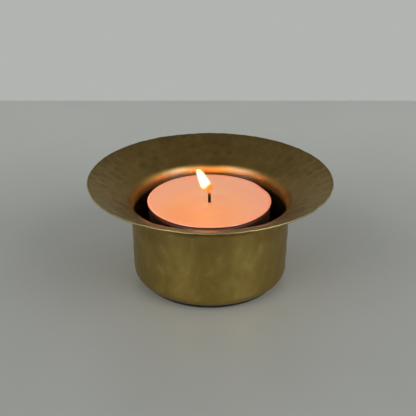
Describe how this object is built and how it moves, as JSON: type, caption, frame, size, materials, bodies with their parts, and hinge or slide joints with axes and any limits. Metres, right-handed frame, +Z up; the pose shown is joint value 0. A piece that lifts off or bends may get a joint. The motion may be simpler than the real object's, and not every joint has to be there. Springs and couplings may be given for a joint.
{
  "type": "tealight holder",
  "caption": "Short round hammered brass cup with a wide flared brim and a felt base pad, holding a lit tealight whose aluminium cup lifts out of it.",
  "frame": {"origin": "centre of the felt pad's underside, which stands on the table", "axes": "+Z up along the bowl's axis; -Y towards the viewer; +X to the viewer's right"},
  "size_m": [0.075, 0.075, 0.0336],
  "materials": {
    "holder_bowl": "hammered, dark antique brass",
    "pad_adhesive": "thin transfer adhesive",
    "base_pad": "black felt",
    "tealight_cup": "bright drawn foil",
    "wax": "peach wax, glossy where it is molten",
    "wick": "charred braided cotton",
    "wick_sustainer": "tin-plated"
  },
  "bodies": {
    "holder": {"holder_bowl": "holder_bowl", "pad_adhesive": "pad_adhesive", "base_pad": "base_pad"},
    "tealight": {"tealight_cup": "tealight_cup"},
    "candle": {"wax": "wax", "wick": "wick", "wick_sustainer": "wick_sustainer"}
  },
  "joints": [
    {"name": "tealight_lift", "type": "slide", "parent": "holder", "child": "tealight", "axis": [0, 0, 1], "range_m": [0, 0.036]},
    {"name": "candle_lift", "type": "slide", "parent": "tealight", "child": "candle", "axis": [0, 0, 1], "range_m": [0, 0.028]}
  ]
}
